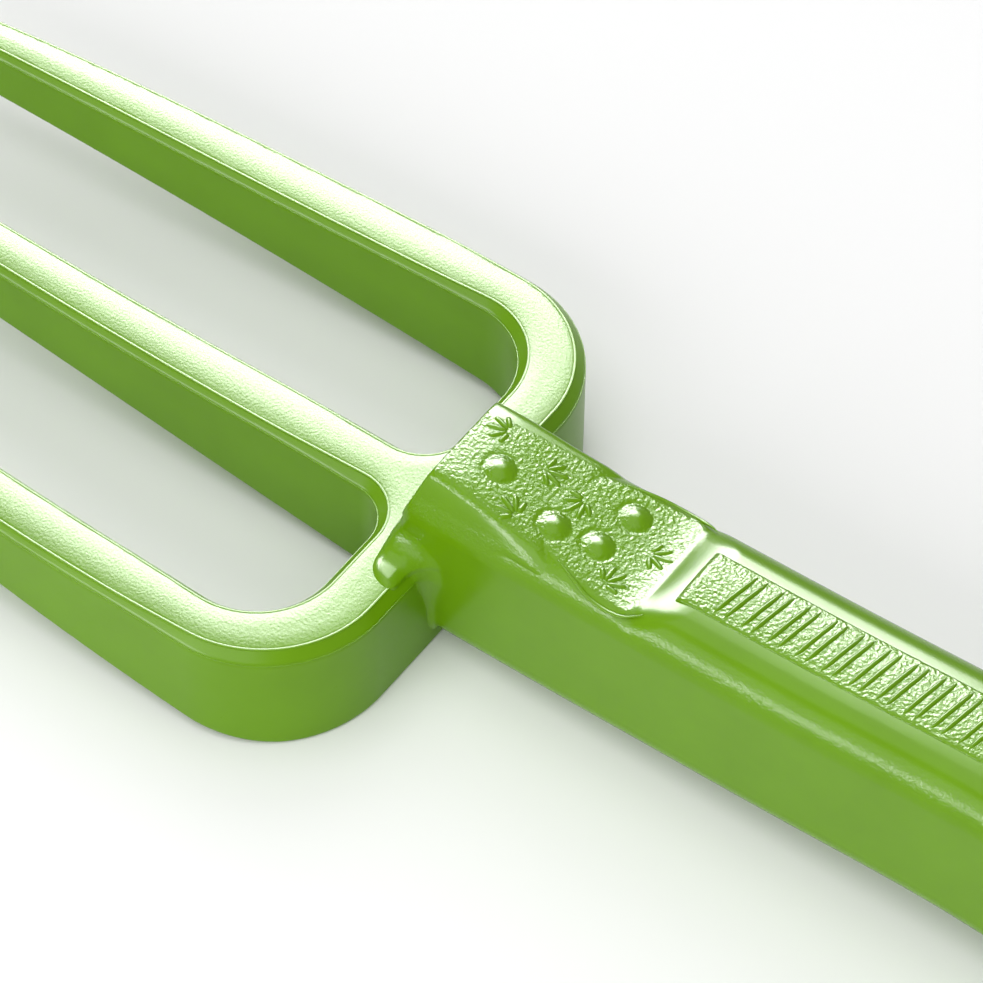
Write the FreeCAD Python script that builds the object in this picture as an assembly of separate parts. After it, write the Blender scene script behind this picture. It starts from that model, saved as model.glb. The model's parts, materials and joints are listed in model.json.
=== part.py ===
import FreeCAD, Part
import os
from FreeCAD import Vector

# Three-tined hand fork in one-colour moulded plastic.  Millimetres.
# +X runs along the tool towards the butt, the tines point to -X, +Z is up.
# The origin is midway between tine tips and butt, on the plane the tool lies on.

# --- fork head ---------------------------------------------------------------
TIP_X = -145.0            # tine tips
YOKE_BACK_X = 6.6         # back face of the yoke, where the handle starts
SLOT_END_X = -3.9         # closed end of the gaps between the tines
HEAD_TOP_Z = 20.4         # top face of the yoke
CORNER_R = 20.0           # outer corners of the yoke, seen from above
SLOT_OUTER_R = 12.3       # gap corner beside an outer tine
SLOT_INNER_R = 6.6        # gap corner beside the centre tine
TIP_R = 1.5               # plan rounding of a tine tip
TOP_EDGE_R = 1.4          # rounding of the upper edges
UNDERSIDE_RISE = 0.109    # the tines get shallower from below, per mm
# Plan edges of the tines, each an arc through root, middle and tip (x, y).
OUTER_EDGE = ((YOKE_BACK_X, 42.3), (-70.0, 40.8), (TIP_X, 30.6))
INNER_EDGE = ((SLOT_END_X, 33.9), (-70.0, 31.7), (TIP_X, 26.3))
CENTRE_EDGE = ((SLOT_END_X, 4.9), (-70.0, 4.5), (TIP_X, 3.5))
# Side profile of the tines' upper face (x, z), then the point of the tips.
UPPER_LINE = ((SLOT_END_X, HEAD_TOP_Z), (-50.0, 19.8), (-100.0, 21.4), (-125.0, 21.6), (TIP_X, 19.6))
TIP_LOW_Z = 17.0
POINT_START_X = -135.0

# --- tang and its socket -----------------------------------------------------
TANG_HALF_W = 6.5
TANG_LOW_Z = 4.0
TANG_HIGH_Z = 19.0
TANG_END_X = 44.0
SOCKET_END_X = 44.5
SCREW_Z = 0.5 * (TANG_LOW_Z + TANG_HIGH_Z)

# --- screw -------------------------------------------------------------------
SCREW_R = 2.0
SCREW_TIP_X = 20.0
SCREW_HEAD_R = 4.2
SCREW_HEAD_L = 3.2
SCREW_HOLE_R = 2.3

# --- handle ------------------------------------------------------------------
BULKHEAD_X = 52.0         # the hollow of the handle starts behind this wall
SHELL_WALL = 3.2
HANDLE_END_X = 127.0      # joint face between handle and end cap
BUTT_X = 145.0
CROWN = 0.5               # rise of the top face above its shoulders
SHOULDER_R = 5.5
LOW_R = 5.4
FRONT_RIM_X = 5.0         # upper front edge of the thumb rest
FRONT_RIM_Z = 37.4
# station x, half width, underside z, top z
STATIONS = [
    (-3.0, 11.4, 1.0, 34.3),
    (20.0, 11.9, 1.9, 34.6),
    (44.0, 12.1, 2.8, 35.0),
    (70.0, 12.2, 3.8, 35.6),
    (95.0, 12.2, 4.5, 36.8),
    (112.0, 12.5, 3.2, 36.2),
    (127.0, 12.8, 0.9, 33.4),
]
CAP_STATIONS = [
    (127.0, 12.8, 0.9, 33.4),
    (134.0, 12.7, 0.0, 31.4),
    (140.0, 12.2, 0.6, 29.0),
    (145.0, 11.4, 2.2, 26.6),
]

# --- foot that spreads over the yoke -----------------------------------------
FOOT_FRONT_X = -0.7
FOOT_HALF_W = 19.2
FOOT_R = 7.0              # hollow fillet between flank and yoke
FOOT_LIP = 0.7            # thickness of the foot at its rim

# --- thumb rest and grip pattern ---------------------------------------------
SCOOP_LOW_X = 37.0
SCOOP_LOW_Z = 32.2
RAMP_TOP_X = 45.2
REST_ENDS = ((-3.0, 8.3, 10.6), (30.0, 9.8, 11.2))   # x, half width of floor and of foot
REST_FOOT_Z = 31.3
DOME_R = 2.3
DOME_RISE = 0.9
DOMES = [(12.1, -1.6), (23.2, -4.1), (29.8, -2.7), (31.1, 4.6)]
PAD_START_X = 45.6
PAD_HALF_W = 5.2
PAD_RISE = 0.35
RIB_HALF_L = 4.4
RIB_W = 2.4
RIB_RISE = 0.75
RIB_PITCH = 4.4
RIB_FIRST_X = 52.0
RIB_COUNT = 14

# --- end cap -----------------------------------------------------------------
SPIGOT_X = 110.0
SPIGOT_WALL = 2.2
FIT_GAP = 0.05
HANG_X = 136.0
HANG_Z = 15.0
HANG_R = 4.0


def plan_point(point, side):
    """Point of a plan outline on the +Y or -Y side."""
    return Vector(point[0], side * point[1], 0.0)


def edge_arc(points, side):
    """Arc along one edge of a tine."""
    return Part.Arc(*[plan_point(p, side) for p in points]).toShape()


def line(a, b):
    """Straight edge between two points."""
    return Part.makeLine(a, b)


def prism(points, direction):
    """Solid made by pushing a closed polygon along a direction."""
    wire = Part.makePolygon(points + [points[0]])
    return Part.Face(wire).extrude(direction)


def upright_edges(shape, test):
    """Edges parallel to Z whose x and y pass a test."""
    found = []
    for edge in shape.Edges:
        a = edge.Vertexes[0].Point
        b = edge.Vertexes[-1].Point
        upright = abs(a.x - b.x) < 0.01 and abs(a.y - b.y) < 0.01
        if upright and abs(a.z - b.z) > 1.0 and test(a.x, a.y):
            found.append(edge)
    return found


def head_plan():
    """Outline of yoke and tines as an upright block."""
    edges = []
    for side in (1.0, -1.0):
        edges.append(edge_arc(OUTER_EDGE, side))
        edges.append(line(plan_point(OUTER_EDGE[2], side), plan_point(INNER_EDGE[2], side)))
        edges.append(edge_arc(INNER_EDGE, side))
        edges.append(line(plan_point(INNER_EDGE[0], side), plan_point(CENTRE_EDGE[0], side)))
        edges.append(edge_arc(CENTRE_EDGE, side))
    for back in (OUTER_EDGE[0], CENTRE_EDGE[2]):
        edges.append(line(plan_point(back, -1.0), plan_point(back, 1.0)))
    wire = Part.Wire(Part.__sortEdges__(edges))
    block = Part.Face(wire).extrude(Vector(0, 0, 40))
    corners = upright_edges(block, lambda x, y: x > 5.0)
    block = block.makeFillet(CORNER_R, corners)
    outer = upright_edges(block, lambda x, y: abs(x - SLOT_END_X) < 0.1 and abs(y) > 20.0)
    block = block.makeFillet(SLOT_OUTER_R, outer)
    inner = upright_edges(block, lambda x, y: abs(x - SLOT_END_X) < 0.1 and abs(y) < 20.0)
    block = block.makeFillet(SLOT_INNER_R, inner)
    tips = upright_edges(block, lambda x, y: x < TIP_X + 0.5)
    return block.makeFillet(TIP_R, tips)


def head_side():
    """Side profile of the head, pushed right across it."""
    top = Part.BSplineCurve()
    top.interpolate([Vector(x, 0, z) for x, z in UPPER_LINE])
    back_x = YOKE_BACK_X + 1.0
    corners = [
        Vector(TIP_X, 0, UPPER_LINE[-1][1]),
        Vector(TIP_X, 0, TIP_LOW_Z),
        Vector(POINT_START_X, 0, -UNDERSIDE_RISE * POINT_START_X),
        Vector(0.0, 0, 0.0),
        Vector(back_x, 0, 0.0),
        Vector(back_x, 0, HEAD_TOP_Z),
        Vector(SLOT_END_X, 0, HEAD_TOP_Z),
    ]
    edges = [top.toShape()]
    for a, b in zip(corners[:-1], corners[1:]):
        edges.append(line(a, b))
    wire = Part.Wire(Part.__sortEdges__(edges))
    side = Part.Face(wire).extrude(Vector(0, 100, 0))
    side.translate(Vector(0, -50, 0))
    return side


def round_upper_edges(head):
    """Round every edge that borders the upper face of the head."""
    chosen = []
    for edge in head.Edges:
        middle = edge.valueAt(0.5 * (edge.FirstParameter + edge.LastParameter))
        box = edge.BoundBox
        if box.ZLength < 5.0 and middle.z > 19.0 and middle.x > TIP_X + 0.2:
            if abs(middle.x - YOKE_BACK_X) > 0.1 or abs(middle.y) > FOOT_HALF_W + 1:
                chosen.append(edge)
    return head.makeFillet(TOP_EDGE_R, chosen)


def make_fork_head():
    """Yoke, three tines and the tang that goes into the handle."""
    head = head_plan().common(head_side())
    tang = Part.makeBox(
        TANG_END_X - YOKE_BACK_X + 2.0, 2 * TANG_HALF_W, TANG_HIGH_Z - TANG_LOW_Z,
        Vector(YOKE_BACK_X - 2.0, -TANG_HALF_W, TANG_LOW_Z))
    nose = [e for e in tang.Edges
            if min(v.Point.x for v in e.Vertexes) > TANG_END_X - 0.1]
    tang = tang.makeChamfer(1.5, nose)
    pilot = Part.makeCylinder(
        SCREW_R, TANG_END_X - SCREW_TIP_X + 1.0,
        Vector(SCREW_TIP_X, 0, SCREW_Z), Vector(1, 0, 0))
    head = round_upper_edges(head)
    return head.fuse(tang).cut(pilot).removeSplitter()


def section(x, half_w, low_z, top_z, inset=0.0):
    """Closed cross-section of the handle at x, optionally shrunk by inset."""
    w = half_w - inset
    low = low_z + inset
    top = top_z - inset
    shoulder = SHOULDER_R - 0.5 * inset
    heel = LOW_R - 0.5 * inset
    w_low = w - 0.05 * (top - low)
    crown = CROWN
    s = 0.7071
    right = [
        (w_low - heel, low),
        (w_low - heel + heel * s, low + heel - heel * s),
        (w_low, low + heel),
        (w, top - crown - shoulder),
        (w - shoulder + shoulder * s, top - crown - shoulder + shoulder * s),
        (w - shoulder, top - crown),
    ]
    r = [Vector(x, y, z) for y, z in right]
    m = [Vector(x, -y, z) for y, z in right]
    edges = [
        line(m[0], r[0]),
        Part.Arc(r[0], r[1], r[2]).toShape(),
        line(r[2], r[3]),
        Part.Arc(r[3], r[4], r[5]).toShape(),
        Part.Arc(r[5], Vector(x, 0, top), m[5]).toShape(),
        Part.Arc(m[5], m[4], m[3]).toShape(),
        line(m[3], m[2]),
        Part.Arc(m[2], m[1], m[0]).toShape(),
    ]
    return Part.Wire(edges)


def loft(stations, inset=0.0):
    """Smooth solid through cross-sections."""
    wires = [section(x, w, low, top, inset) for x, w, low, top in stations]
    return Part.makeLoft(wires, True, False)


def hollow_offset(height):
    """How far a hollow quarter fillet stands out at a height above its foot."""
    rest = max(FOOT_R - height, 0.0)
    return FOOT_R - (FOOT_R * FOOT_R - rest * rest) ** 0.5


def make_foot():
    """Spread foot of the handle: hollow fillets down to yoke top and yoke back."""
    half = FOOT_HALF_W
    flank = half - FOOT_R
    steps = [0.0, 0.06, 0.15, 0.3, 0.5, 0.75, 1.0]
    plan = [Vector(FOOT_FRONT_X, half - 5.0, 0), Vector(FOOT_FRONT_X + 1.2, half - 2.0, 0)]
    plan.append(Vector(FOOT_FRONT_X + 4.0, half, 0))
    for t in steps:
        out = hollow_offset(t * FOOT_R)
        plan.append(Vector(YOKE_BACK_X + FOOT_LIP + t * FOOT_R, flank + out, 0))
    plan.append(Vector(YOKE_BACK_X + FOOT_LIP + FOOT_R, 0, 0))
    mirrored = [Vector(p.x, -p.y, 0) for p in reversed(plan[:-1])]
    block = prism(plan + mirrored, Vector(0, 0, 40))
    front = [Vector(0, half, 0.8), Vector(0, half, HEAD_TOP_Z + FOOT_LIP)]
    for t in steps[1:]:
        out = hollow_offset(t * FOOT_R)
        front.append(Vector(0, flank + out, HEAD_TOP_Z + FOOT_LIP + t * FOOT_R))
    mirrored = [Vector(0, -p.y, p.z) for p in reversed(front)]
    across = prism(front + mirrored, Vector(40, 0, 0))
    across.translate(Vector(-5, 0, 0))
    return block.common(across).common(front_wedge())


def front_wedge():
    """Everything behind the leaning front wall of the handle."""
    wall = [
        Vector(FOOT_FRONT_X, -40, -5),
        Vector(FOOT_FRONT_X, -40, HEAD_TOP_Z + FOOT_LIP),
        Vector(FOOT_FRONT_X + 1.1, -40, HEAD_TOP_Z + 2.4),
        Vector(FOOT_FRONT_X + 2.2, -40, HEAD_TOP_Z + 6.0),
        Vector(FRONT_RIM_X - 0.6, -40, FRONT_RIM_Z - 1.2),
        Vector(FRONT_RIM_X + 0.6, -40, FRONT_RIM_Z + 0.2),
        Vector(FRONT_RIM_X + 0.6, -40, 60),
        Vector(160, -40, 60),
        Vector(160, -40, -5),
    ]
    return prism(wall, Vector(0, 80, 0))


def scoop_tool():
    """Block that cuts the sloping thumb rest and the ramp up to the grip."""
    rim = Vector(-6.0, -30, FRONT_RIM_Z + 0.9)
    low = Vector(SCOOP_LOW_X, -30, SCOOP_LOW_Z)
    bend = Vector(SCOOP_LOW_X + 4.6, -30, SCOOP_LOW_Z + 0.6)
    top = Vector(RAMP_TOP_X, -30, SCOOP_LOW_Z + 3.2)
    high = Vector(RAMP_TOP_X + 4.0, -30, SCOOP_LOW_Z + 8.0)
    roof_back = Vector(RAMP_TOP_X + 4.0, -30, 60)
    roof_front = Vector(-6.0, -30, 60)
    edges = [
        line(rim, low),
        Part.Arc(low, bend, top).toShape(),
        line(top, high),
        line(high, roof_back),
        line(roof_back, roof_front),
        line(roof_front, rim),
    ]
    return Part.Face(Part.Wire(edges)).extrude(Vector(0, 60, 0))


def floor_z(x):
    """Height of the thumb rest floor."""
    slope = (FRONT_RIM_Z + 0.9 - SCOOP_LOW_Z) / (-6.0 - SCOOP_LOW_X)
    return SCOOP_LOW_Z + slope * (x - SCOOP_LOW_X)


def make_rest_block():
    """Raised wedge under the thumb rest, standing on the handle's rounded back."""
    wires = []
    for x, floor_w, foot_w in REST_ENDS:
        floor = floor_z(x)
        right = [(foot_w - 1.0, REST_FOOT_Z - 3.0), (foot_w, REST_FOOT_Z), (floor_w, floor),
                 (floor_w, floor + 3.0)]
        left = [(-y, z) for y, z in reversed(right)]
        ring = [Vector(x, y, z) for y, z in right + left]
        wires.append(Part.makePolygon(ring + [ring[0]]))
    return Part.makeLoft(wires, True, True)


def make_domes():
    """Round bumps on the thumb rest."""
    ball_r = (DOME_R * DOME_R + DOME_RISE * DOME_RISE) / (2 * DOME_RISE)
    domes = []
    for x, y in DOMES:
        centre = Vector(x, y, floor_z(x) + DOME_RISE - ball_r)
        domes.append(Part.makeSphere(ball_r, centre))
    return domes


def raised_bar(low_x, high_x, half_l, rise):
    """Flat bar across the grip that follows the grip's crown and stands above it."""
    bar = Part.makeBox(high_x - low_x, 2 * half_l, 20.0, Vector(low_x, -half_l, 25.0))
    ends = [e for e in bar.Edges if abs(e.BoundBox.ZLength - 20.0) < 0.01]
    bar = bar.makeFillet(0.4 * RIB_W, ends)
    return bar.common(loft(STATIONS, -rise))


def make_grip_pattern():
    """Raised pad along the top of the grip, and the ribs across it."""
    bars = [raised_bar(PAD_START_X, HANDLE_END_X - 0.6, PAD_HALF_W, PAD_RISE)]
    for i in range(RIB_COUNT):
        x = RIB_FIRST_X + i * RIB_PITCH
        bars.append(raised_bar(x - 0.5 * RIB_W, x + 0.5 * RIB_W, RIB_HALF_L, RIB_RISE))
    return bars


def make_handle():
    """Hollow handle with thumb rest, foot, tang socket and screw wall."""
    body = loft(STATIONS).fuse(make_rest_block()).common(front_wedge())
    body = body.fuse(make_foot()).cut(scoop_tool())
    body = body.fuse(make_domes() + make_grip_pattern())
    yoke_room = Part.makeBox(40, 120, HEAD_TOP_Z + 10, Vector(YOKE_BACK_X - 40, -60, -10))
    socket = Part.makeBox(
        SOCKET_END_X - YOKE_BACK_X + 5.0, 2 * TANG_HALF_W, TANG_HIGH_Z - TANG_LOW_Z,
        Vector(YOKE_BACK_X - 5.0, -TANG_HALF_W, TANG_LOW_Z))
    screw_hole = Part.makeCylinder(
        SCREW_HOLE_R, BULKHEAD_X - SOCKET_END_X + 4.0,
        Vector(SOCKET_END_X - 2.0, 0, SCREW_Z), Vector(1, 0, 0))
    room = Part.makeBox(100, 100, 100, Vector(BULKHEAD_X, -50, -20))
    hollow = loft(STATIONS, SHELL_WALL).common(room)
    return body.cut([yoke_room, socket, screw_hole, hollow]).removeSplitter()


def make_tang_screw():
    """Pan-head screw that pulls the tang into the handle."""
    shank_l = BULKHEAD_X - SCREW_TIP_X
    tip_l = 4.0
    axis = Vector(1, 0, 0)
    tip = Part.makeCone(0.4, SCREW_R, tip_l, Vector(SCREW_TIP_X + 0.3, 0, SCREW_Z), axis)
    shank = Part.makeCylinder(
        SCREW_R, shank_l - tip_l - 0.3, Vector(SCREW_TIP_X + 0.3 + tip_l, 0, SCREW_Z), axis)
    head = Part.makeCylinder(SCREW_HEAD_R, SCREW_HEAD_L, Vector(BULKHEAD_X, 0, SCREW_Z), axis)
    rim = [e for e in head.Edges
           if e.BoundBox.XLength < 0.01 and e.BoundBox.XMin > BULKHEAD_X + 1]
    head = head.makeFillet(1.2, rim)
    long_slot = Part.makeBox(2, 5.0, 1.0, Vector(BULKHEAD_X + 1.6, -2.5, SCREW_Z - 0.5))
    cross_slot = Part.makeBox(2, 1.0, 5.0, Vector(BULKHEAD_X + 1.6, -0.5, SCREW_Z - 2.5))
    return tip.fuse([shank, head]).cut([long_slot, cross_slot]).removeSplitter()


def make_end_cap():
    """Butt piece with a hollow spigot and the hanging hole."""
    cap = loft(CAP_STATIONS)
    butt = [e for e in cap.Edges if e.BoundBox.XMin > BUTT_X - 0.1]
    cap = cap.makeFillet(2.5, butt)
    room = Part.makeBox(HANDLE_END_X - SPIGOT_X, 60, 60, Vector(SPIGOT_X, -30, -10))
    outer = loft(STATIONS, SHELL_WALL + FIT_GAP).common(room)
    inner = loft(STATIONS, SHELL_WALL + SPIGOT_WALL).common(room)
    hang = Part.makeCylinder(HANG_R, 60, Vector(HANG_X, -30, HANG_Z), Vector(0, 1, 0))
    return cap.fuse(outer.cut(inner)).cut(hang).removeSplitter()


def main():
    """Build and save every piece."""
    os.makedirs("parts", exist_ok=True)
    pieces = {
        "fork_head": make_fork_head(),
        "handle": make_handle(),
        "tang_screw": make_tang_screw(),
        "end_cap": make_end_cap(),
    }
    for name, shape in pieces.items():
        box = shape.BoundBox
        print(name, "solids", len(shape.Solids), "valid", shape.isValid(),
              "volume", round(shape.Volume), "x", round(box.XMin, 2), round(box.XMax, 2),
              "y", round(box.YMin, 2), round(box.YMax, 2),
              "z", round(box.ZMin, 2), round(box.ZMax, 2))
        shape.exportStep("parts/" + name + ".step")


main()
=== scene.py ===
import json
import math

import bmesh
import bpy
import numpy as np
from mathutils import Matrix, Vector

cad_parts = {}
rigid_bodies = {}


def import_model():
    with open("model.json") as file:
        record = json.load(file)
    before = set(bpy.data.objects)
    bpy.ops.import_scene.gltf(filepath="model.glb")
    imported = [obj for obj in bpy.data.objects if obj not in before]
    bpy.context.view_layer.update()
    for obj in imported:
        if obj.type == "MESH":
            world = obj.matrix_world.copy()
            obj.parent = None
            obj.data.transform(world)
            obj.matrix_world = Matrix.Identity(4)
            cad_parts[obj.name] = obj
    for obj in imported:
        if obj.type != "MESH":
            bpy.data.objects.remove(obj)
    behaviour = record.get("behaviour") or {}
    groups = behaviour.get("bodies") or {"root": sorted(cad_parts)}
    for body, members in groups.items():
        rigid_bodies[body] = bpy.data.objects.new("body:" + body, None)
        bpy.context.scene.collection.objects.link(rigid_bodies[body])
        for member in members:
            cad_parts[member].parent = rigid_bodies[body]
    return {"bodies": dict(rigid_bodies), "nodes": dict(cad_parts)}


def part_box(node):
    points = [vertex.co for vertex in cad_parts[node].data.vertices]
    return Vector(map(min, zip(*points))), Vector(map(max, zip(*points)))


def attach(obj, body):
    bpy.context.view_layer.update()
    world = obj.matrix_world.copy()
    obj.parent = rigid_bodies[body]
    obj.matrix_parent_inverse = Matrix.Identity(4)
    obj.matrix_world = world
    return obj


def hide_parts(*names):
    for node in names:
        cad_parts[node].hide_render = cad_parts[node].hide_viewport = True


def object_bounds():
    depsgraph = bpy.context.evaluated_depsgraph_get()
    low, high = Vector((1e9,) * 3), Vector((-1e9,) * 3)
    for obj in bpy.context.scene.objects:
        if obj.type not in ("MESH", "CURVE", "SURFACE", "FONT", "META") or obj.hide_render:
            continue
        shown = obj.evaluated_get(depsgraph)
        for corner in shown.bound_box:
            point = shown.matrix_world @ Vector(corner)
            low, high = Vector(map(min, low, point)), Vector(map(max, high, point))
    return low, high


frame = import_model()
cad_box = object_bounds()

# The hand fork's lengths are in millimetres and become metres where a mesh is made.
MM = 0.001


def cad_mm(node):
    """Lowest and highest corner of a CAD node, in millimetres."""
    low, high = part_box(node)
    return np.array(low) / MM, np.array(high) / MM


def spline(points):
    """Natural cubic curve through (x, value) points, as a function of x."""
    points = sorted(points)
    x = np.array([p[0] for p in points])
    v = np.array([p[1] for p in points])
    n = len(x)
    h = np.diff(x)
    slope = np.diff(v) / h
    system = np.eye(n)
    right = np.zeros(n)
    for i in range(1, n - 1):
        system[i, i - 1:i + 2] = h[i - 1], 2 * (h[i - 1] + h[i]), h[i]
        right[i] = 6 * (slope[i] - slope[i - 1])
    bend = np.linalg.solve(system, right)

    def value(at):
        at = np.clip(at, x[0], x[-1])
        i = np.clip(np.searchsorted(x, at) - 1, 0, n - 2)
        t = at - x[i]
        first = slope[i] - h[i] * (2 * bend[i] + bend[i + 1]) / 6
        return v[i] + t * (first + t * (bend[i] / 2 + t * (bend[i + 1] - bend[i]) / (6 * h[i])))

    return value


HEAD_LOW, HEAD_HIGH = cad_mm("fork_head")
HANDLE_LOW, HANDLE_HIGH = cad_mm("handle")
CAP_LOW, CAP_HIGH = cad_mm("end_cap")

# --- fork head: plan edges as arcs through root, middle and tip ---------------
TIP_X = HEAD_LOW[0]
YOKE_BACK_X = 6.6
SLOT_END_X = -3.9
HEAD_TOP_Z = 20.4
OUTER_EDGE = ((YOKE_BACK_X, 42.3), (-70.0, 40.8), (TIP_X, 30.6))
INNER_EDGE = ((SLOT_END_X, 33.9), (-70.0, 31.7), (TIP_X, 26.3))
CENTRE_EDGE = ((SLOT_END_X, 4.9), (-70.0, 4.5), (TIP_X, 3.5))
CORNER_R = 20.0
SLOT_OUTER_R = 12.3
SLOT_INNER_R = 6.6
TIP_PLAN_R = 2.0
UPPER_LINE = ((10.0, HEAD_TOP_Z), (SLOT_END_X, HEAD_TOP_Z), (-50.0, 19.8), (-100.0, 21.4),
              (-125.0, 21.6), (TIP_X, 19.6))
UNDERSIDE_RISE = 0.109    # rise of the underside per millimetre towards the tips
UNDER_BEND = 4.0
UNDER_BEND_SPREAD = 40.0
POINT_START_X = -135.0
POINT_RISE = 0.23
WALL_DRAFT = 0.008
LAND_CROWN = 0.5
LAND_REACH = 4.6
EDGE_BAND = 1.05          # sloping smooth band between the textured face and the parting line
YOKE_BAND = 0.55          # the band grows by this much on the yoke
BAND_GROWS_FROM_X = -30.0
BAND_GROWS_OVER = 28.0
LAND_EDGE_R = 0.25
BAND_R = 0.35
UNDER_EDGE_R = 0.8
HEAD_CELL = 0.4

# --- handle: station x, half width, underside z, top z ------------------------
STATIONS = (
    (-3.0, 11.4, 1.0, 34.3),
    (20.0, 11.9, 1.9, 34.6),
    (44.0, 12.1, 2.8, 35.0),
    (70.0, 12.2, 3.8, 35.6),
    (95.0, 12.2, 4.5, 36.8),
    (112.0, 12.5, 3.2, 36.2),
    (127.0, 12.8, 0.9, 33.4),
    (134.0, 12.7, 0.0, 31.4),
    (140.0, 12.2, 0.6, 29.0),
    (145.0, 11.4, 2.2, 26.6),
)
FLANK_DRAFT = 0.05
CROWN = 0.5
SHOULDER_R = 5.5
HEEL_R = 5.4
JOINT_X = HANDLE_HIGH[0]
BUTT_X = CAP_HIGH[0]
JOINT_EDGE_R = 0.35
BUTT_EDGE_R = 4.0
HANDLE_CELL = 0.33
CAP_CELL = 0.5

# --- thumb rest ---------------------------------------------------------------
FRONT_LEAN = 0.335        # the front wall leans back by this much per millimetre of height
FRONT_EDGE_R = 1.6
FLOOR_LINE = spline([(-4.0, 36.1), (4.0, 36.75), (9.0, 36.65), (17.0, 35.4), (25.0, 34.0), (32.0, 32.8),
                     (37.0, 32.25), (40.0, 32.55), (44.0, 34.6), (50.0, 38.6)])
REST_WIDTH = spline([(0.0, 8.3), (21.0, 9.2), (37.0, 10.1), (46.0, 10.2)])
SIDE_SLOPE = spline([(0, 3.0), (12, 2.9), (21, 2.1), (28, 1.4), (35, 1.0), (42, 0.5), (46, 0.3)])
SIDE_ROUND = 0.7
SCOOP_LIFT = 3.0          # in front of the cut the scoop is lifted clear of the handle
SCOOP_CUT_X = 22.0
SCOOP_CUT_OVER = 3.0
SCOOP_SLOPE = 0.75        # turns a height above the scoop into a rough distance
BLOCK_END_X = 33.0
BLOCK_SINK = 1.3          # rough distance by which the block sinks behind the cut
BLOCK_SINK_OVER = 9.0
BLOCK_SIDE_R = 0.3
BLOCK_BLEND_END_X = 21.0
BLOCK_BLEND_OVER = 5.0
BLOCK_BLEND_LEAST_R = 0.01
BLOCK_FOOT_Z = 27.0
BLOCK_BLEND_R = 0.6
BLOCK_SIDE = spline([(-4, 10.5), (0, 10.5), (10, 10.55), (19, 10.6), (33, 10.9)])
SCOOP_EDGE_R = 0.3
RAMP_EDGE_R = 1.8
RAMP_EDGE_X = 37.5
RAMP_EDGE_OVER = 4.0
DOMES = ((12.1, -1.6), (23.2, -4.1), (29.8, -2.7), (31.1, 4.6))
DOME_R = 2.0
DOME_RISE = 0.7
DOME_BLEND_R = 0.3
MOAT_DEPTH = 0.12
MOAT_WIDTH = 0.4
SPRIGS = ((9.6, 4.6, 200), (17.0, 2.4, 20), (18.4, -6.4, 160), (24.4, 2.2, 250), (36.2, 0.8, 10),
          (34.0, -7.4, 60))

# --- foot over the yoke -------------------------------------------------------
FOOT_FRONT_X = HANDLE_LOW[0]
FOOT_HALF_W = HANDLE_HIGH[1]
FOOT_FILLET = 4.5
HEEL_FILLET = 1.2
FILLET_FOOT_Z = 8.0
FILLET_GROWS_OVER = 14.0
FOOT_LIP = 0.5
LIP_DEPTH = 1.2
FOOT_EDGE_R = 2.2
FOOT_CORNER_R = 5.0
SEAM_OVERLAP = 0.06
HANDLE_IN_HEAD = 1.3      # the handle's mesh reaches this far inside the head's

# --- fine details -------------------------------------------------------------
TRACE_STEP = 0.6
PARTING_DROP = 0.05
RIM_HALF_W = 0.24
RIM_HALF_H = 0.2
RIM_RISE = 0.07
PARTING_R = 0.1
PARTING_SINK = 0.04
LIP_R = 0.3
LIP_WIDER = 1.3
LIP_SINK = 0.1
LIP_START_X = 27.0
LIP_END_X = 42.0
LEAF_FAN = ((-66, 2.2), (-33, 2.9), (0, 3.2), (33, 2.9), (66, 2.2))   # turn in degrees, length
LEAF_ROOT_R = 0.5
LEAF_HALF_W = 0.55
LEAF_RISE = 0.3
RIB_FIRST_X = 52.0
RIB_PITCH = 4.4
RIB_COUNT = 14
RIB_HALF_LENGTH = 4.4
RIB_SLANT = 0.8
RIB_PAIR_SHIFT = 0.85
RIB_HALF_W = 0.5
RIB_RISE = 0.42
PAD_HALF_W = 5.2
PAD_RISE = 0.4
PAD_START_X = 44.6
PAD_END_GAP = 0.6
PAD_SINK = 0.3
PAD_SETTLE = 0.12         # the pad's face lies this much lower

# --- where the marks for grain and speckle lie ----------------------------------
GRAIN_NEAR_Y = -8.6
GRAIN_NEAR_SLOPE = -0.04
GRAIN_FAR_Y = 4.9
GRAIN_FAR_SLOPE = 0.15
GRAIN_END_X = 41.0
SPECKLE_START_Y = 9.0

# --- end cap ------------------------------------------------------------------
HANG_X = 136.0
HANG_Z = 15.0
HANG_R = 4.0
HANG_EDGE_R = 0.9


# ---------------------------------------------------------------- shaping ----
def circle_through(points):
    """Centre and radius of the circle through three (x, y) points."""
    (ax, ay), (bx, by), (cx, cy) = points
    rows = np.array([[bx - ax, by - ay], [cx - ax, cy - ay]])
    sums = 0.5 * np.array([bx * bx - ax * ax + by * by - ay * ay,
                           cx * cx - ax * ax + cy * cy - ay * ay])
    centre = np.linalg.solve(rows, sums)
    return centre, math.hypot(ax - centre[0], ay - centre[1])


def round_max(a, b, r):
    """Overlap of two bodies given as distances, its edge rounded with radius r."""
    return np.minimum(-r, np.maximum(a, b)) + np.hypot(np.maximum(r + a, 0), np.maximum(r + b, 0))


def round_min(a, b, r):
    """Union of two bodies, its inner corner filled with radius r."""
    return -round_max(-a, -b, r)


def step(t):
    """Smooth rise from 0 to 1 as t goes from 0 to 1."""
    t = np.clip(t, 0, 1)
    return t * t * (3 - 2 * t)


# -------------------------------------------------------------- fork head ----
OUTER_CIRCLE = circle_through(OUTER_EDGE)
INNER_CIRCLE = circle_through(INNER_EDGE)
CENTRE_CIRCLE = circle_through(CENTRE_EDGE)
head_top = spline(UPPER_LINE)


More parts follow.
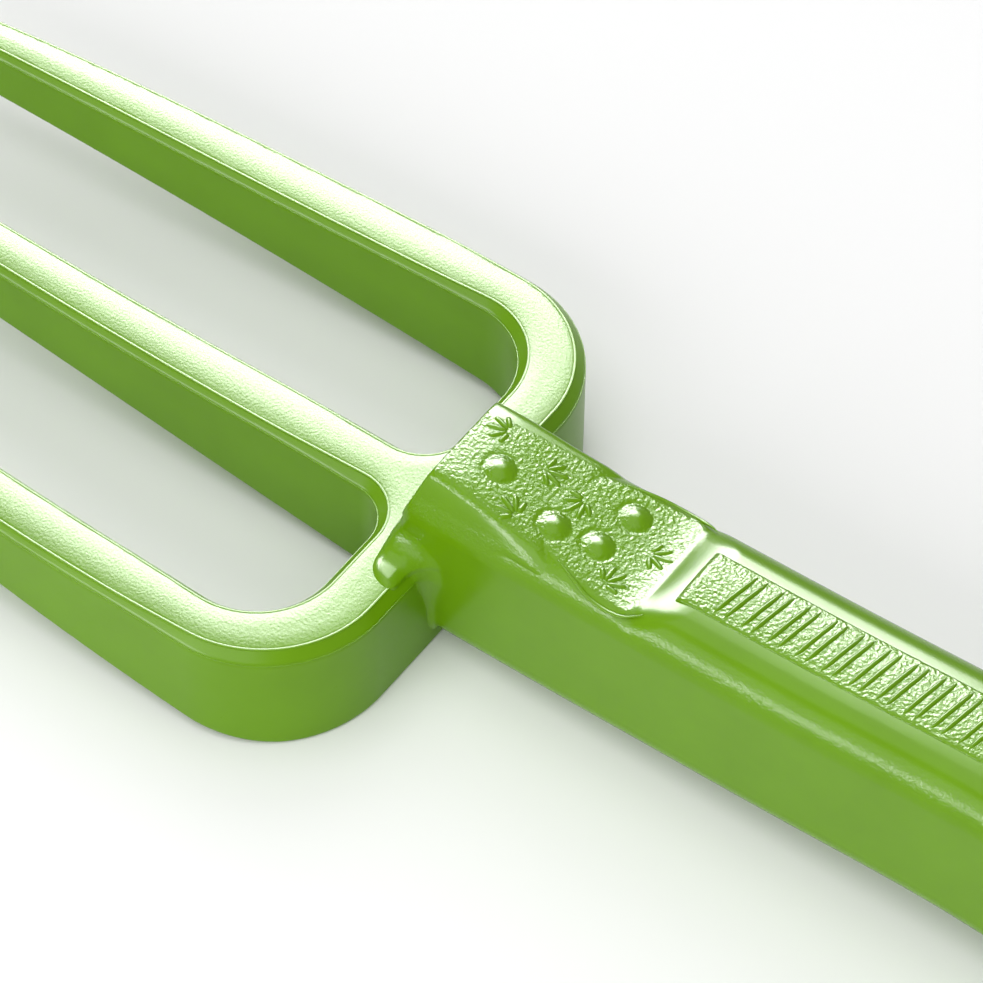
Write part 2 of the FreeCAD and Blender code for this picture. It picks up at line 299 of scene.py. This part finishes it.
def from_circle(circle, x, y):
    """Distance outside a circle given as centre and radius."""
    (cx, cy), r = circle
    return np.hypot(x - cx, y - cy) - r


def head_plan(x, y):
    """Signed distance to the head's outline seen from above."""
    side = np.abs(y)
    block = round_max(from_circle(OUTER_CIRCLE, x, side), x - YOKE_BACK_X, CORNER_R)
    end = x - SLOT_END_X
    slot = np.maximum(
        round_max(from_circle(INNER_CIRCLE, x, side), end, SLOT_OUTER_R),
        round_max(-from_circle(CENTRE_CIRCLE, x, side), end, SLOT_INNER_R))
    return round_max(np.maximum(block, -slot), TIP_X - x, TIP_PLAN_R)


def head_under(x):
    """Height of the underside of yoke and tines."""
    rise = 0.5 * UNDERSIDE_RISE * (np.hypot(x, UNDER_BEND) - x)
    dip = 0.5 * UNDERSIDE_RISE * UNDER_BEND * np.exp(-x * x / UNDER_BEND_SPREAD)
    point = -UNDERSIDE_RISE * POINT_START_X + POINT_RISE * (POINT_START_X - x)
    return np.maximum(rise - dip, point)


def band_width(x):
    """Width and depth of the smooth sloping band along the top edges."""
    return EDGE_BAND + YOKE_BAND * step((x - BAND_GROWS_FROM_X) / BAND_GROWS_OVER)


def head_field(x, y, z):
    """Signed distance to the fork head."""
    plan = head_plan(x, y)
    wall = plan + WALL_DRAFT * z
    crown = LAND_CROWN * (1 - np.clip(-plan / LAND_REACH, 0, 1)) ** 2
    land = z - head_top(x) + crown
    band = (wall + land + band_width(x)) * math.sqrt(0.5)
    body = round_max(round_max(wall, band, BAND_R), land, LAND_EDGE_R)
    return round_max(body, head_under(x) - z, UNDER_EDGE_R)


# ----------------------------------------------------------------- handle ----
half_width = spline([(s[0], s[1]) for s in STATIONS])
handle_low = spline([(s[0], s[2]) for s in STATIONS])
handle_top = spline([(s[0], s[3]) for s in STATIONS])


def grip_height(x, y):
    """Height of the grip's crowned top face."""
    flat = half_width(x) - SHOULDER_R
    return handle_top(x) - CROWN * (y / flat) ** 2


def handle_section(x, y, z):
    """Distance to the handle's long rounded body, with no ends."""
    top = handle_top(x)
    low = handle_low(x)
    width = half_width(x) - FLANK_DRAFT * (top - z)
    body = round_max(np.abs(y) - width, z - grip_height(x, y), SHOULDER_R)
    return round_max(body, low - z, HEEL_R)


def floor_height(x, y):
    """Height of the scooped thumb rest and of the ramp behind it."""
    floor = FLOOR_LINE(x)
    outer = np.abs(y) - REST_WIDTH(x)
    outer = 0.5 * (outer + np.hypot(outer, SIDE_ROUND))
    for cx, cy in DOMES:
        ring = (np.hypot(x - cx, y - cy) - DOME_R - MOAT_WIDTH) / MOAT_WIDTH
        floor = floor - MOAT_DEPTH * np.exp(-ring * ring)
    return floor - SIDE_SLOPE(x) * outer


def front_wall(x, z):
    """Distance in front of the handle's leaning front wall."""
    return (FOOT_FRONT_X + FRONT_LEAN * (z - HEAD_TOP_Z) - x) / math.hypot(1, FRONT_LEAN)


def dome_field(x, y, z):
    """Distance to the round bumps of the thumb rest."""
    ball_r = (DOME_R ** 2 + DOME_RISE ** 2) / (2 * DOME_RISE)
    nearest = np.full(np.shape(x), 1e3)
    for cx, cy in DOMES:
        cz = floor_height(cx, cy) + DOME_RISE - ball_r
        nearest = np.minimum(nearest, np.sqrt((x - cx) ** 2 + (y - cy) ** 2 + (z - cz) ** 2) - ball_r)
    return nearest


def foot_limit(x, y, z):
    """Distance outside the room that the handle's foot may fill."""
    side = round_max(np.abs(y) - FOOT_HALF_W, FOOT_FRONT_X - x, FOOT_CORNER_R)
    return np.maximum(side, HANDLE_LOW[2] - z)


def handle_field(x, y, z):
    """Signed distance to the handle."""
    body = handle_section(x, y, z)
    body = round_max(body, front_wall(x, z), FRONT_EDGE_R)
    scoop = (z - floor_height(x, y)) * SCOOP_SLOPE
    sunk = scoop + BLOCK_SINK * step((x - SCOOP_CUT_X) / BLOCK_SINK_OVER)
    block = np.maximum(sunk, np.maximum(x - BLOCK_END_X, BLOCK_FOOT_Z - z))
    block = round_max(block, np.abs(y) - BLOCK_SIDE(x), BLOCK_SIDE_R)
    block = round_max(block, front_wall(x, z), SCOOP_EDGE_R)
    edge = SCOOP_EDGE_R + (RAMP_EDGE_R - SCOOP_EDGE_R) * step((x - RAMP_EDGE_X) / RAMP_EDGE_OVER)
    cut = scoop - SCOOP_LIFT * step((SCOOP_CUT_X - x) / SCOOP_CUT_OVER)
    body = round_max(body, cut, edge)
    blend = BLOCK_BLEND_R * step((BLOCK_BLEND_END_X - x) / BLOCK_BLEND_OVER) + BLOCK_BLEND_LEAST_R
    body = round_min(body, block, blend)
    body = round_min(body, dome_field(x, y, z), DOME_BLEND_R)
    head = head_field(x, y, z)
    lip = (FOOT_LIP + SEAM_OVERLAP) * step((z - HEAD_TOP_Z + LIP_DEPTH) / LIP_DEPTH) - SEAM_OVERLAP
    fillet = HEEL_FILLET + (FOOT_FILLET - HEEL_FILLET) * step((z - FILLET_FOOT_Z) / FILLET_GROWS_OVER)
    foot = round_min(body, head - lip, fillet)
    foot = round_max(foot, foot_limit(x, y, z), FOOT_EDGE_R)
    both = np.minimum(body, foot)
    both = np.maximum(both, -head - HANDLE_IN_HEAD)
    return round_max(both, x - JOINT_X, JOINT_EDGE_R)


def cap_field(x, y, z):
    """Signed distance to the end cap with its hanging hole."""
    body = handle_section(x, y, z)
    body = round_max(body, x - BUTT_X, BUTT_EDGE_R)
    hole = HANG_R - np.hypot(x - HANG_X, z - HANG_Z)
    body = round_max(body, hole, HANG_EDGE_R)
    return round_max(body, JOINT_X - x, JOINT_EDGE_R)


# ----------------------------------------------------------------- meshes ----
def slopes(field, p):
    """Gradient of a field at an array of points."""
    e = 0.02
    out = np.empty_like(p)
    for axis in range(3):
        d = np.zeros(3)
        d[axis] = e
        out[:, axis] = (field(*(p + d).T) - field(*(p - d).T)) / (2 * e)
    return out


def surface_net(field, low, high, cell):
    """Points, quads and normals of the surface where the field is zero."""
    low = np.array(low) - 1.5 * cell
    high = np.array(high) + 1.5 * cell
    axes = [np.arange(a, b + cell, cell) for a, b in zip(low, high)]
    x, y, z = np.meshgrid(*axes, indexing="ij", sparse=True)
    full = [np.broadcast_to(a, (len(axes[0]), len(axes[1]), len(axes[2]))) for a in (x, y, z)]
    inside = field(*full) < 0
    cells = [n - 1 for n in inside.shape]
    corner_sum = np.zeros(cells, np.int8)
    for i in (0, 1):
        for j in (0, 1):
            for k in (0, 1):
                corner_sum += inside[i:i + cells[0], j:j + cells[1], k:k + cells[2]]
    mixed = (corner_sum > 0) & (corner_sum < 8)
    number = np.full(cells, -1, np.int64)
    number[mixed] = np.arange(mixed.sum())
    points = np.argwhere(mixed) * cell + low + 0.5 * cell
    quads = []
    for axis in range(3):
        u, v = (axis + 1) % 3, (axis + 2) % 3
        here = np.moveaxis(inside, (axis, u, v), (0, 1, 2))
        ids = np.moveaxis(number, (axis, u, v), (0, 1, 2))
        first, second = here[:-1, 1:-1, 1:-1], here[1:, 1:-1, 1:-1]
        for a, b, flip in ((first, second, False), (second, first, True)):
            i, j, k = np.nonzero(a & ~b)
            ring = [ids[i, j, k], ids[i, j + 1, k], ids[i, j + 1, k + 1], ids[i, j, k + 1]]
            quads.append(np.stack(ring[::-1] if flip else ring, axis=1))
    for _ in range(5):
        g = slopes(field, points)
        length = np.maximum((g * g).sum(axis=1), 0.05)
        move = g * (field(*points.T) / length)[:, None]
        points = points - np.clip(move, -0.5 * cell, 0.5 * cell)
    g = slopes(field, points)
    normals = g / np.maximum(np.linalg.norm(g, axis=1), 1e-6)[:, None]
    return points, np.concatenate(quads), normals


def new_mesh(name, points, faces, normals=None, marks=None):
    """Smooth-shaded object from points in millimetres, with optional per-point marks."""
    mesh = bpy.data.meshes.new(name)
    mesh.from_pydata((np.asarray(points) * MM).tolist(), [], np.asarray(faces).tolist())
    mesh.shade_smooth()
    for label, values in (marks or {}).items():
        layer = mesh.attributes.new(label, "FLOAT", "POINT")
        layer.data.foreach_set("value", np.asarray(values, np.float32))
    if normals is not None:
        mesh.normals_split_custom_set_from_vertices(normals.tolist())
    obj = bpy.data.objects.new(name, mesh)
    bpy.context.scene.collection.objects.link(obj)
    return obj


def sweep(rings, closed=False):
    """Closed skin over rings of points, its ends capped unless the rings make a loop."""
    rings = np.asarray(rings)
    count, around = rings.shape[:2]
    faces = []
    for i in range(count if closed else count - 1):
        for j in range(around):
            a, b = i * around + j, i * around + (j + 1) % around
            c, d = (b + around) % (count * around), (a + around) % (count * around)
            faces.append((a, b, c, d))
    if not closed:
        faces.append(tuple(range(around))[::-1])
        faces.append(tuple(range((count - 1) * around, count * around)))
    return rings.reshape(-1, 3), faces


def ridge(start, end, half_w, rise, ground, sink=0.15, steps=14, around=9):
    """Rings of a small raised ridge that lies on a ground height and thins out at both ends."""
    start, end = np.array(start), np.array(end)
    along = (end - start) / np.linalg.norm(end - start)
    across = np.array((-along[1], along[0]))
    rings = []
    for t in np.linspace(0.0, 1.0, steps):
        swell = max(1 - (2 * t - 1) ** 4, 0.02)
        middle = start + (end - start) * t
        ring = []
        for k in np.linspace(-1.0, 1.0, around):
            x, y = middle + across * k * half_w * math.sqrt(swell)
            ring.append((x, y, ground(x, y) + rise * swell * (1 - k * k) - sink * k * k))
        x, y = middle
        ring.append((x, y, ground(x, y) - 2 * sink))
        rings.append(ring)
    return rings


def joined(name, parts, mark):
    """One object from several (points, faces) skins."""
    points, faces = [], []
    for part_points, part_faces in parts:
        shift = len(points)
        points.extend(part_points)
        faces.extend(tuple(i + shift for i in face) for face in part_faces)
    return mixed_mesh(name, points, faces, mark)


def mixed_mesh(name, points, faces, mark):
    """Smooth object from points in millimetres and faces of any size."""
    mesh = bpy.data.meshes.new(name)
    mesh.from_pydata((np.asarray(points) * MM).tolist(), [], faces)
    shape = bmesh.new()
    shape.from_mesh(mesh)
    bmesh.ops.recalc_face_normals(shape, faces=shape.faces)
    shape.to_mesh(mesh)
    shape.free()
    mesh.shade_smooth()
    layer = mesh.attributes.new("grain", "FLOAT", "POINT")
    layer.data.foreach_set("value", np.full(len(points), mark, np.float32))
    obj = bpy.data.objects.new(name, mesh)
    bpy.context.scene.collection.objects.link(obj)
    return obj


def trace_outline(level):
    """Points and outward directions along the closed curve round the head where a function is zero."""
    e = 0.01
    x, y = YOKE_BACK_X - 0.5, 0.0
    path = []
    while True:
        for _ in range(3):
            gx = (level(x + e, y) - level(x - e, y)) / (2 * e)
            gy = (level(x, y + e) - level(x, y - e)) / (2 * e)
            gap = level(x, y) / (gx * gx + gy * gy)
            x, y = x - gx * gap, y - gy * gap
        size = math.hypot(gx, gy)
        path.append((x, y, gx / size, gy / size))
        x, y = x - gy / size * TRACE_STEP, y + gx / size * TRACE_STEP
        if len(path) > 20 and math.hypot(x - path[0][0], y - path[0][1]) < 0.8 * TRACE_STEP:
            return path
        if len(path) > 4000:
            raise ValueError("the outline does not close")


def bead(path, height, half_w, half_h, name):
    """Thin flat-topped bead along a traced outline, at a height above the ground."""
    rings = []
    for x, y, nx, ny in path:
        ring = []
        for k in range(16):
            c, s = math.cos(math.radians(22.5 * k)), math.sin(math.radians(22.5 * k))
            out = half_w * math.copysign(math.sqrt(abs(c)), c)
            up = half_h * math.copysign(math.sqrt(abs(s)), s)
            ring.append((x + nx * out, y + ny * out, height(x, y) + up))
        rings.append(ring)
    return joined(name, [sweep(rings, closed=True)], 0.0)


def make_parting_line():
    """Fine flash line that runs round the whole head just under its smooth band."""
    def height(x, y):
        return head_top(x) - LAND_CROWN - band_width(x) - PARTING_DROP

    path = trace_outline(lambda x, y: head_field(x, y, height(x, y)) + PARTING_SINK)
    return bead(path, height, PARTING_R, PARTING_R, "head_parting_line")


def make_head_rim():
    """Low flat rim between the crowned textured face and the smooth band."""
    def height(x, y):
        return head_top(x) - LAND_CROWN * (1 - band_width(x) / LAND_REACH) ** 2 - RIM_HALF_H + RIM_RISE

    path = trace_outline(lambda x, y: head_plan(x, y) + band_width(x) + RIM_HALF_W)
    return bead(path, height, RIM_HALF_W, RIM_HALF_H, "head_rim")


def make_rest_lips():
    """Thin lips where the sides of the thumb rest run out into the handle's shoulders."""
    parts = []
    for side in (-1, 1):
        centres = []
        for x in np.linspace(LIP_START_X, LIP_END_X, 40):
            near, far = 8.0, 13.0
            for _ in range(30):
                y = 0.5 * (near + far)
                if handle_section(x, y, floor_height(x, y)) < 0:
                    near = y
                else:
                    far = y
            centres.append((x, side * near, floor_height(x, near)))
        rings = []
        for i, (x, y, z) in enumerate(centres):
            t = i / (len(centres) - 1)
            r = LIP_R * math.sin(math.pi * min(max(t, 0.02), 0.98)) ** 0.5
            turns = np.linspace(0, 2 * math.pi, 9)[:-1]
            rings.append([(x, y + r * math.cos(a) * LIP_WIDER, z + r * math.sin(a) - LIP_SINK)
                          for a in turns])
        parts.append(sweep(rings))
    return joined("thumb_rest_lips", parts, 0.0)


def make_sprigs():
    """Small raised fans of leaves between the domes of the thumb rest."""
    parts = []
    for cx, cy, facing in SPRIGS:
        for spread, length in LEAF_FAN:
            turn = math.radians(facing + spread)
            out = np.array((math.cos(turn), math.sin(turn)))
            root = np.array((cx, cy)) + LEAF_ROOT_R * out
            leaf = ridge(root, root + length * out, LEAF_HALF_W, LEAF_RISE, floor_height)
            parts.append(sweep(leaf))
    return joined("thumb_rest_leaves", parts, 0.0)


def pad_height(x, y):
    """Height of the raised pad's top face."""
    return grip_height(x, y) + PAD_RISE - PAD_SETTLE


def make_ribs():
    """Paired slanting ribs along the grip."""
    parts = []
    for i in range(RIB_COUNT):
        x = RIB_FIRST_X + i * RIB_PITCH
        for shift in (-RIB_PAIR_SHIFT, RIB_PAIR_SHIFT):
            start = (x + shift - RIB_SLANT, -RIB_HALF_LENGTH)
            end = (x + shift + RIB_SLANT, RIB_HALF_LENGTH)
            parts.append(sweep(ridge(start, end, RIB_HALF_W, RIB_RISE, pad_height)))
    return joined("grip_ribs", parts, 0.0)


def make_grip_pad():
    """Raised strip with a pebbled face along the top of the grip."""
    rings = []
    for x in np.linspace(PAD_START_X, JOINT_X - PAD_END_GAP, 120):
        ends = min(1.0, (x - PAD_START_X) / PAD_END_GAP + 0.1)
        ring = []
        for turn in np.linspace(-0.5 * math.pi, 0.5 * math.pi, 31):
            k = math.sin(turn)
            y = k * PAD_HALF_W
            swell = math.sqrt(ends) * (1 - k ** 40) ** 0.5
            z = grip_height(x, y) - PAD_SINK + (PAD_RISE + PAD_SINK) * swell
            ring.append((x, y, z - PAD_SETTLE))
        ring.append((x, 0.0, grip_height(x, 0.0) - 1.0))
        rings.append(ring)
    return joined("grip_pad", [sweep(rings)], 1.0)


def make_head():
    """Yoke and tines, with the fine grain marked on their upper faces."""
    high = (YOKE_BACK_X, HEAD_HIGH[1], HEAD_HIGH[2])
    points, quads, normals = surface_net(head_field, HEAD_LOW, high, HEAD_CELL)
    x, y = points[:, 0], points[:, 1]
    upward = step((normals[:, 2] - 0.90) / 0.06)
    inner = step((-head_plan(x, y) - band_width(x) - 0.2) / 0.4)
    return new_mesh("tines_and_yoke", points, quads, normals, {"grain": upward * inner})


def make_grip_body():
    """Handle with the thumb rest's grain and the shoulders' speckle marked on it."""
    points, quads, normals = surface_net(handle_field, HANDLE_LOW, HANDLE_HIGH, HANDLE_CELL)
    x, y, z = points.T
    up = normals[:, 2]
    near_edge = GRAIN_NEAR_Y + GRAIN_NEAR_SLOPE * x
    far_edge = GRAIN_FAR_Y + GRAIN_FAR_SLOPE * x
    rest = step((0.5 - np.abs(z - floor_height(x, y))) / 0.3) * step((GRAIN_END_X - x) / 1.5)
    rest = rest * step((y - near_edge) / 0.8) * step((far_edge - y) / 0.8)
    shoulder = step((np.abs(y) - SPECKLE_START_Y) / 1.5)
    shoulder = shoulder * step((up - 0.1) / 0.2) * step((0.9 - up) / 0.2)
    return new_mesh("grip_body", points, quads, normals, {"grain": rest, "speckle": shoulder})


def make_butt_cap():
    """Smooth end cap with the hanging hole."""
    low = (JOINT_X, CAP_LOW[1], CAP_LOW[2])
    points, quads, normals = surface_net(cap_field, low, CAP_HIGH, CAP_CELL)
    return new_mesh("butt_cap", points, quads, normals, {"grain": np.zeros(len(points))})


# -------------------------------------------------------------- materials ----
def node(tree, kind, **settings):
    """New shader node with its sockets set, or linked where a socket is given."""
    made = tree.nodes.new(kind)
    for key, value in settings.items():
        target = made.inputs[key.replace("_", " ")] if not hasattr(made, key) else None
        if target is None:
            setattr(made, key, value)
        elif isinstance(value, bpy.types.NodeSocket):
            tree.links.new(value, target)
        else:
            target.default_value = value
    return made


def plastic(name, colour, roughness, grain_size, grain_depth):
    """Moulded plastic: smooth where the grain mark is 0, pebbled where it is 1."""
    mat = bpy.data.materials.new(name)
    mat.use_nodes = True
    tree = mat.node_tree
    shader = tree.nodes["Principled BSDF"]
    place = node(tree, "ShaderNodeTexCoord").outputs["Object"]
    mark = node(tree, "ShaderNodeAttribute", attribute_name="grain").outputs["Fac"]
    speckle = node(tree, "ShaderNodeAttribute", attribute_name="speckle").outputs["Fac"]
    pebble = node(tree, "ShaderNodeTexNoise", Vector=place, Scale=1 / (grain_size * MM), Detail=1.5,
                  Roughness=0.4)
    relief = node(tree, "ShaderNodeMath", operation="MULTIPLY")
    tree.links.new(pebble.outputs["Fac"], relief.inputs[0])
    tree.links.new(mark, relief.inputs[1])
    fine = node(tree, "ShaderNodeTexNoise", Vector=place, Scale=1 / (0.45 * MM), Detail=3.0)
    rub = node(tree, "ShaderNodeMath", operation="MULTIPLY")
    tree.links.new(fine.outputs["Fac"], rub.inputs[0])
    tree.links.new(speckle, rub.inputs[1])
    bump = node(tree, "ShaderNodeBump", Strength=1.0, Distance=grain_depth * MM,
                Height=relief.outputs[0])
    rough_skin = node(tree, "ShaderNodeBump", Strength=1.0, Distance=0.06 * MM,
                      Height=rub.outputs[0], Normal=bump.outputs["Normal"])
    skin = node(tree, "ShaderNodeBump", Strength=1.0, Distance=0.004 * MM,
                Height=fine.outputs["Fac"], Normal=rough_skin.outputs["Normal"])
    tree.links.new(skin.outputs["Normal"], shader.inputs["Normal"])
    cloud = node(tree, "ShaderNodeTexNoise", Vector=place, Scale=1 / (11 * MM), Detail=3.0)
    tint = node(tree, "ShaderNodeMix", data_type="RGBA")
    tree.links.new(cloud.outputs["Fac"], tint.inputs["Factor"])
    for socket, shade in ((tint.inputs[6], 0.9), (tint.inputs[7], 1.1)):
        socket.default_value = (*(shade * c for c in colour), 1)
    tree.links.new(tint.outputs[2], shader.inputs["Base Color"])
    polish = node(tree, "ShaderNodeMapRange", Value=fine.outputs["Fac"])
    polish.inputs["To Min"].default_value = roughness - 0.05
    polish.inputs["To Max"].default_value = roughness + 0.05
    tree.links.new(polish.outputs["Result"], shader.inputs["Roughness"])
    shader.inputs["IOR"].default_value = 1.3
    return mat


def steel(name):
    """Plated screw steel with fine pits and faint cloudiness."""
    mat = bpy.data.materials.new(name)
    mat.use_nodes = True
    tree = mat.node_tree
    shader = tree.nodes["Principled BSDF"]
    place = node(tree, "ShaderNodeTexCoord").outputs["Object"]
    cloud = node(tree, "ShaderNodeTexNoise", Vector=place, Scale=1 / (1.6 * MM), Detail=4.0)
    tint = node(tree, "ShaderNodeMix", data_type="RGBA")
    tree.links.new(cloud.outputs["Fac"], tint.inputs["Factor"])
    tint.inputs[6].default_value = (0.42, 0.42, 0.41, 1)
    tint.inputs[7].default_value = (0.62, 0.61, 0.57, 1)
    tree.links.new(tint.outputs[2], shader.inputs["Base Color"])
    marks = node(tree, "ShaderNodeTexNoise", Vector=place, Scale=1 / (0.3 * MM), Detail=2.0)
    bump = node(tree, "ShaderNodeBump", Strength=1.0, Distance=0.008 * MM, Height=marks.outputs["Fac"])
    tree.links.new(bump.outputs["Normal"], shader.inputs["Normal"])
    shader.inputs["Metallic"].default_value = 1.0
    shader.inputs["Roughness"].default_value = 0.35
    return mat


def finish_piece(piece, finish, cad_node=None):
    """Gives a piece its material and its body, and hides the CAD node that it stands for."""
    piece.data.materials.append(finishes[finish])
    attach(piece, fork_body)
    if cad_node:
        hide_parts(cad_node)


LIME = (0.128, 0.285, 0.002)
fork_body = list(frame["bodies"])[0]
head = make_head()
grip_body = make_grip_body()
head_details = [make_parting_line(), make_head_rim()]
grip_details = [make_sprigs(), make_ribs(), make_grip_pad(), make_rest_lips()]
butt_cap = make_butt_cap()

for material_slot in frame["nodes"]["tang_screw"].material_slots:
    material_slot.material = steel("screw_steel")
finishes = {
    "head_plastic": plastic("head_plastic", LIME, 0.30, 0.42, 0.035),
    "grip_plastic": plastic("grip_plastic", LIME, 0.22, 0.55, 0.17),
    "cap_plastic": plastic("cap_plastic", LIME, 0.26, 0.62, 0.16),
}
finish_piece(head, "head_plastic", "fork_head")
for piece in head_details:
    finish_piece(piece, "head_plastic")
finish_piece(grip_body, "grip_plastic", "handle")
for piece in grip_details:
    finish_piece(piece, "grip_plastic")
finish_piece(butt_cap, "cap_plastic", "end_cap")


# ------------------------------------------------------------------ stage ----
def area_light(name, aim, direction, distance, size, power, gloss_only=False):
    """Soft rectangular light that shines on a point from a direction."""
    data = bpy.data.lights.new(name, "AREA")
    data.shape = "RECTANGLE"
    data.size, data.size_y = size
    data.energy = power
    lamp = bpy.data.objects.new(name, data)
    direction = Vector(direction).normalized()
    lamp.location = Vector(aim) + direction * distance
    lamp.rotation_euler = direction.to_track_quat("Z", "Y").to_euler()
    lamp.visible_diffuse = not gloss_only
    bpy.context.scene.collection.objects.link(lamp)
    return lamp


def make_floor():
    """Plain pale floor just under the fork."""
    half = 3.0
    mesh = bpy.data.meshes.new("floor")
    z = cad_box[0][2]
    mesh.from_pydata([(-half, -half, z), (half, -half, z), (half, half, z), (-half, half, z)], [],
                     [(0, 1, 2, 3)])
    floor = bpy.data.objects.new("floor", mesh)
    bpy.context.scene.collection.objects.link(floor)
    mat = bpy.data.materials.new("floor_paper")
    mat.use_nodes = True
    shader = mat.node_tree.nodes["Principled BSDF"]
    shader.inputs["Base Color"].default_value = (0.9, 0.9, 0.9, 1)
    shader.inputs["Roughness"].default_value = 0.9
    shader.inputs["Specular IOR Level"].default_value = 0.0
    mesh.materials.append(mat)


def make_camera():
    """Camera above the near side, looking down on the yoke and the thumb rest."""
    yaw = math.radians(-34.51)
    pitch = math.radians(50.95)
    roll = math.radians(1.46)
    target = Vector((1.6, 11.75, 10.0)) * MM
    distance = 710.8 * MM
    ahead = Vector((math.sin(yaw), math.cos(yaw), 0))
    right = Vector((math.cos(yaw), -math.sin(yaw), 0))
    upright = Vector((0, 0, 1))
    look = ahead * math.cos(pitch) - upright * math.sin(pitch)
    up = ahead * math.sin(pitch) + upright * math.cos(pitch)
    side = right * math.cos(roll) + up * math.sin(roll)
    top = up * math.cos(roll) - right * math.sin(roll)
    data = bpy.data.cameras.new("camera")
    data.lens = 176.7
    data.sensor_width = 36.0
    data.clip_start = 0.01
    camera = bpy.data.objects.new("camera", data)
    turn = Matrix((side, top, -look)).transposed().to_4x4()
    camera.matrix_world = Matrix.Translation(target - look * distance) @ turn
    bpy.context.scene.collection.objects.link(camera)
    bpy.context.scene.camera = camera


def make_world(strength):
    """Even white surroundings."""
    world = bpy.data.worlds.new("studio")
    world.use_nodes = True
    back = world.node_tree.nodes["Background"]
    back.inputs["Color"].default_value = (1, 1, 1, 1)
    back.inputs["Strength"].default_value = strength
    bpy.context.scene.world = world


make_floor()
make_camera()
make_world(0.42)
aim = (0, 0, 0.02)
area_light("back_softbox", aim, (-0.575, 0.555, 0.60), 1.0, (0.73, 0.46), 46, gloss_only=True)
area_light("upper_back_softbox", aim, (-0.27, 0.57, 0.775), 1.0, (0.55, 0.5), 11, gloss_only=True)
area_light("back_key", aim, (-0.5, 0.5, 0.7), 1.4, (0.9, 0.9), 4.5)
area_light("top_fill", aim, (-0.05, -0.15, 1.0), 1.6, (1.4, 1.4), 12)
area_light("front_fill", aim, (0.05, -0.9, 0.5), 1.2, (1.1, 0.7), 8)
area_light("front_strip", aim, (-0.36, -0.93, 0.13), 1.0, (0.5, 0.07), 6.0, gloss_only=True)
bpy.context.scene.view_settings.view_transform = "Standard"
